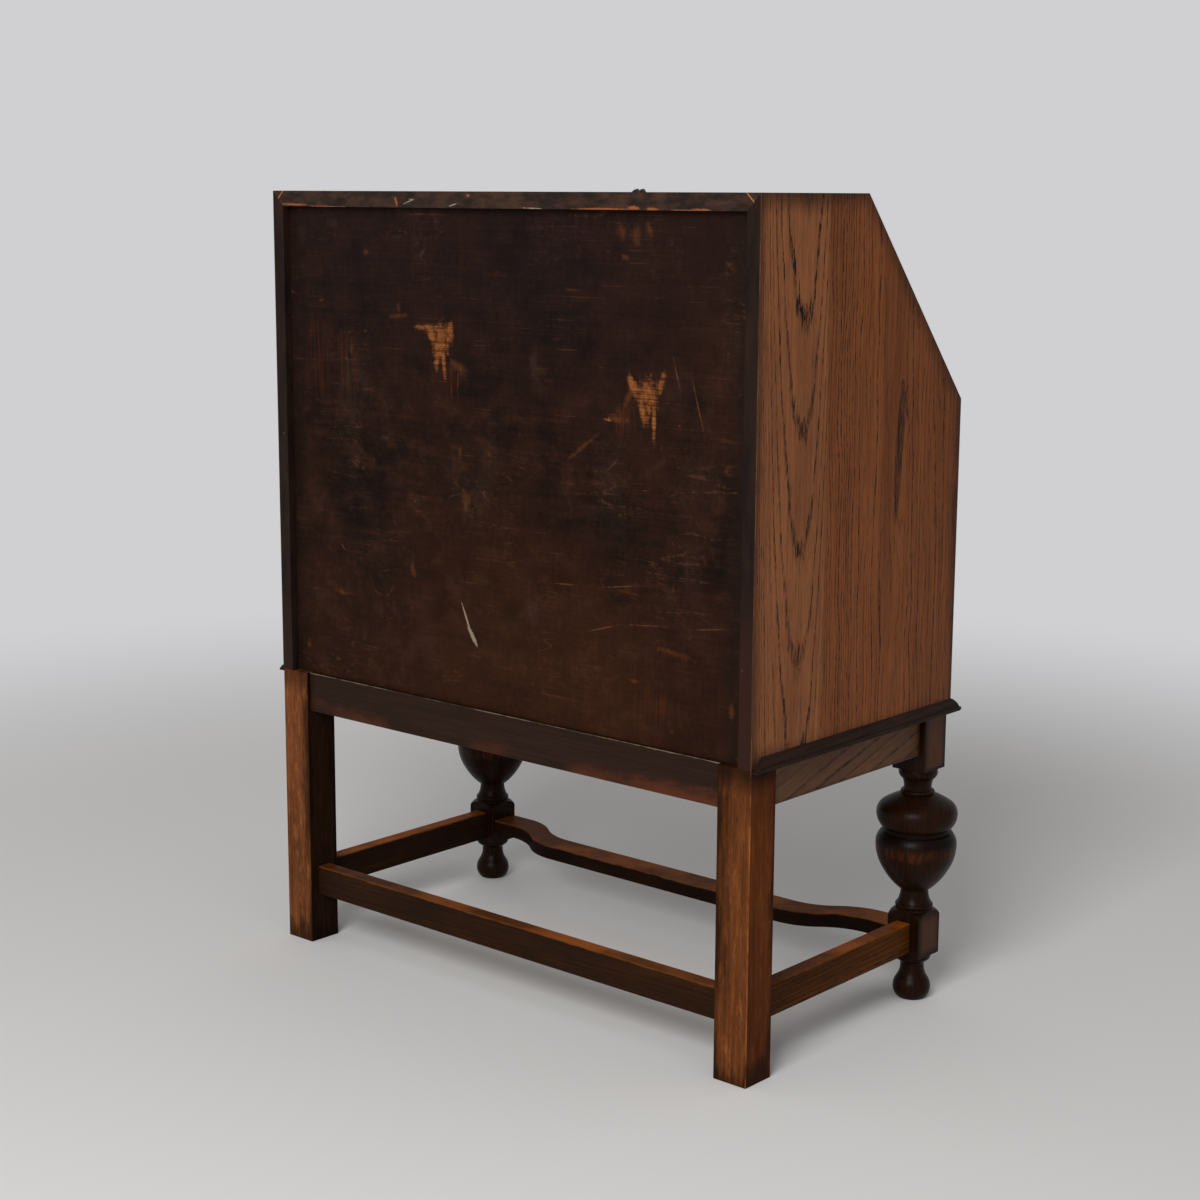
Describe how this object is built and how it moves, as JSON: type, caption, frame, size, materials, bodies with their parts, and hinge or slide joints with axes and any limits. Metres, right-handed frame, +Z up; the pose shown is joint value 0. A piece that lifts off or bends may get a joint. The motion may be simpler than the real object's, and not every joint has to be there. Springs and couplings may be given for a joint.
{
  "type": "fall-front writing bureau",
  "caption": "Oak writing bureau: sloping fall front over drawers with pull-out slides, on a stand with cup-and-cover turned front legs and stretchers.",
  "frame": {"origin": "on the floor, at the middle of the bounding box", "axes": "+Z up; the front with fall and drawers faces -Y; +X is the sitter's right hand"},
  "size_m": [0.814, 0.413, 0.9743],
  "materials": {
    "carcass_oak": "stained and waxed oak",
    "back_panel": "dark stained thin panel, worn",
    "inner_wood": "plain waxed oak",
    "dark_moulding": "dark polished oak",
    "rear_leg_oak": "stained oak, worn at the corners",
    "turned_oak": "dark polished oak",
    "rail_oak": "stained oak",
    "stretcher_oak": "stained oak, worn on top",
    "fall_oak": "stained and waxed oak",
    "loper_oak": "stained and waxed oak",
    "drawer_front_oak": "stained and waxed oak",
    "drawer_wood": "pale unfinished wood",
    "brass": "aged brass",
    "key_metal": "dark iron"
  },
  "bodies": {
    "carcass": {"left_side": "carcass_oak", "right_side": "carcass_oak", "top_board": "carcass_oak", "strike_plate": "brass", "back_panel": "back_panel", "bottom_board": "inner_wood", "upper_blade": "carcass_oak", "middle_blade": "carcass_oak", "upper_runners": "inner_wood", "lower_runners": "inner_wood", "frieze_rail": "carcass_oak", "loper_guides": "carcass_oak", "writing_bed": "inner_wood", "rack_shelf": "inner_wood", "upper_dividers": "inner_wood", "lower_dividers": "inner_wood", "fall_stops": "inner_wood", "left_moulding": "dark_moulding", "right_moulding": "dark_moulding", "front_moulding": "dark_moulding", "left_rear_leg": "rear_leg_oak", "right_rear_leg": "rear_leg_oak", "left_front_leg": "turned_oak", "right_front_leg": "turned_oak", "back_rail": "rail_oak", "front_rail": "rail_oak", "left_rail": "rail_oak", "right_rail": "rail_oak", "rear_stretcher": "stretcher_oak", "left_stretcher": "stretcher_oak", "right_stretcher": "stretcher_oak", "front_stretcher": "stretcher_oak", "bed_hinge_leaves": "brass", "hinge_pins": "brass"},
    "fall": {"fall_panel": "fall_oak", "fall_hinge_leaves": "brass", "lock_case": "brass", "escutcheon": "brass"},
    "key": {"key": "key_metal"},
    "bolt": {"lock_bolt": "brass"},
    "left_loper": {"left_loper": "loper_oak", "left_loper_knob": "loper_oak"},
    "right_loper": {"right_loper": "loper_oak", "right_loper_knob": "loper_oak"},
    "upper_drawer": {"upper_drawer_front": "drawer_front_oak", "upper_drawer_sides": "drawer_wood", "upper_drawer_back": "drawer_wood", "upper_drawer_bottom": "drawer_wood", "upper_handle_plates": "brass"},
    "upper_left_drop": {"upper_left_drop": "brass"},
    "upper_right_drop": {"upper_right_drop": "brass"},
    "lower_drawer": {"lower_drawer_front": "drawer_front_oak", "lower_drawer_sides": "drawer_wood", "lower_drawer_back": "drawer_wood", "lower_drawer_bottom": "drawer_wood", "lower_handle_plates": "brass"},
    "lower_left_drop": {"lower_left_drop": "brass"},
    "lower_right_drop": {"lower_right_drop": "brass"}
  },
  "joints": [
    {"name": "fall_hinge", "type": "hinge", "parent": "carcass", "child": "fall", "pos_m": [0, -0.17377, 0.72236], "axis": [1, 0, 0], "range_deg": [0, 130.28]},
    {"name": "key_turn", "type": "hinge", "parent": "fall", "child": "key", "pos_m": [0, -0.01336, 0.93948], "axis": [0, -0.7629, 0.6465], "range_deg": [0, 90]},
    {"name": "bolt_slide", "type": "slide", "parent": "fall", "child": "bolt", "axis": [0, 0.6465, 0.7629], "range_m": [0, 0.008]},
    {"name": "left_loper_slide", "type": "slide", "parent": "carcass", "child": "left_loper", "axis": [0, -1, 0], "range_m": [0, 0.22]},
    {"name": "right_loper_slide", "type": "slide", "parent": "carcass", "child": "right_loper", "axis": [0, -1, 0], "range_m": [0, 0.22]},
    {"name": "upper_drawer_slide", "type": "slide", "parent": "carcass", "child": "upper_drawer", "axis": [0, -1, 0], "range_m": [0, 0.25]},
    {"name": "upper_left_drop_swing", "type": "hinge", "parent": "upper_drawer", "child": "upper_left_drop", "pos_m": [-0.19, -0.1955, 0.58437], "axis": [-1, 0, 0], "range_deg": [0, 75]},
    {"name": "upper_right_drop_swing", "type": "hinge", "parent": "upper_drawer", "child": "upper_right_drop", "pos_m": [0.19, -0.1955, 0.58437], "axis": [-1, 0, 0], "range_deg": [0, 75]},
    {"name": "lower_drawer_slide", "type": "slide", "parent": "carcass", "child": "lower_drawer", "axis": [0, -1, 0], "range_m": [0, 0.25]},
    {"name": "lower_left_drop_swing", "type": "hinge", "parent": "lower_drawer", "child": "lower_left_drop", "pos_m": [-0.19, -0.1955, 0.44599], "axis": [-1, 0, 0], "range_deg": [0, 75]},
    {"name": "lower_right_drop_swing", "type": "hinge", "parent": "lower_drawer", "child": "lower_right_drop", "pos_m": [0.19, -0.1955, 0.44599], "axis": [-1, 0, 0], "range_deg": [0, 75]}
  ],
  "couplings": [
    {"joint": "key_turn", "follows": "bolt_slide", "rad_per_m": 196.35}
  ]
}
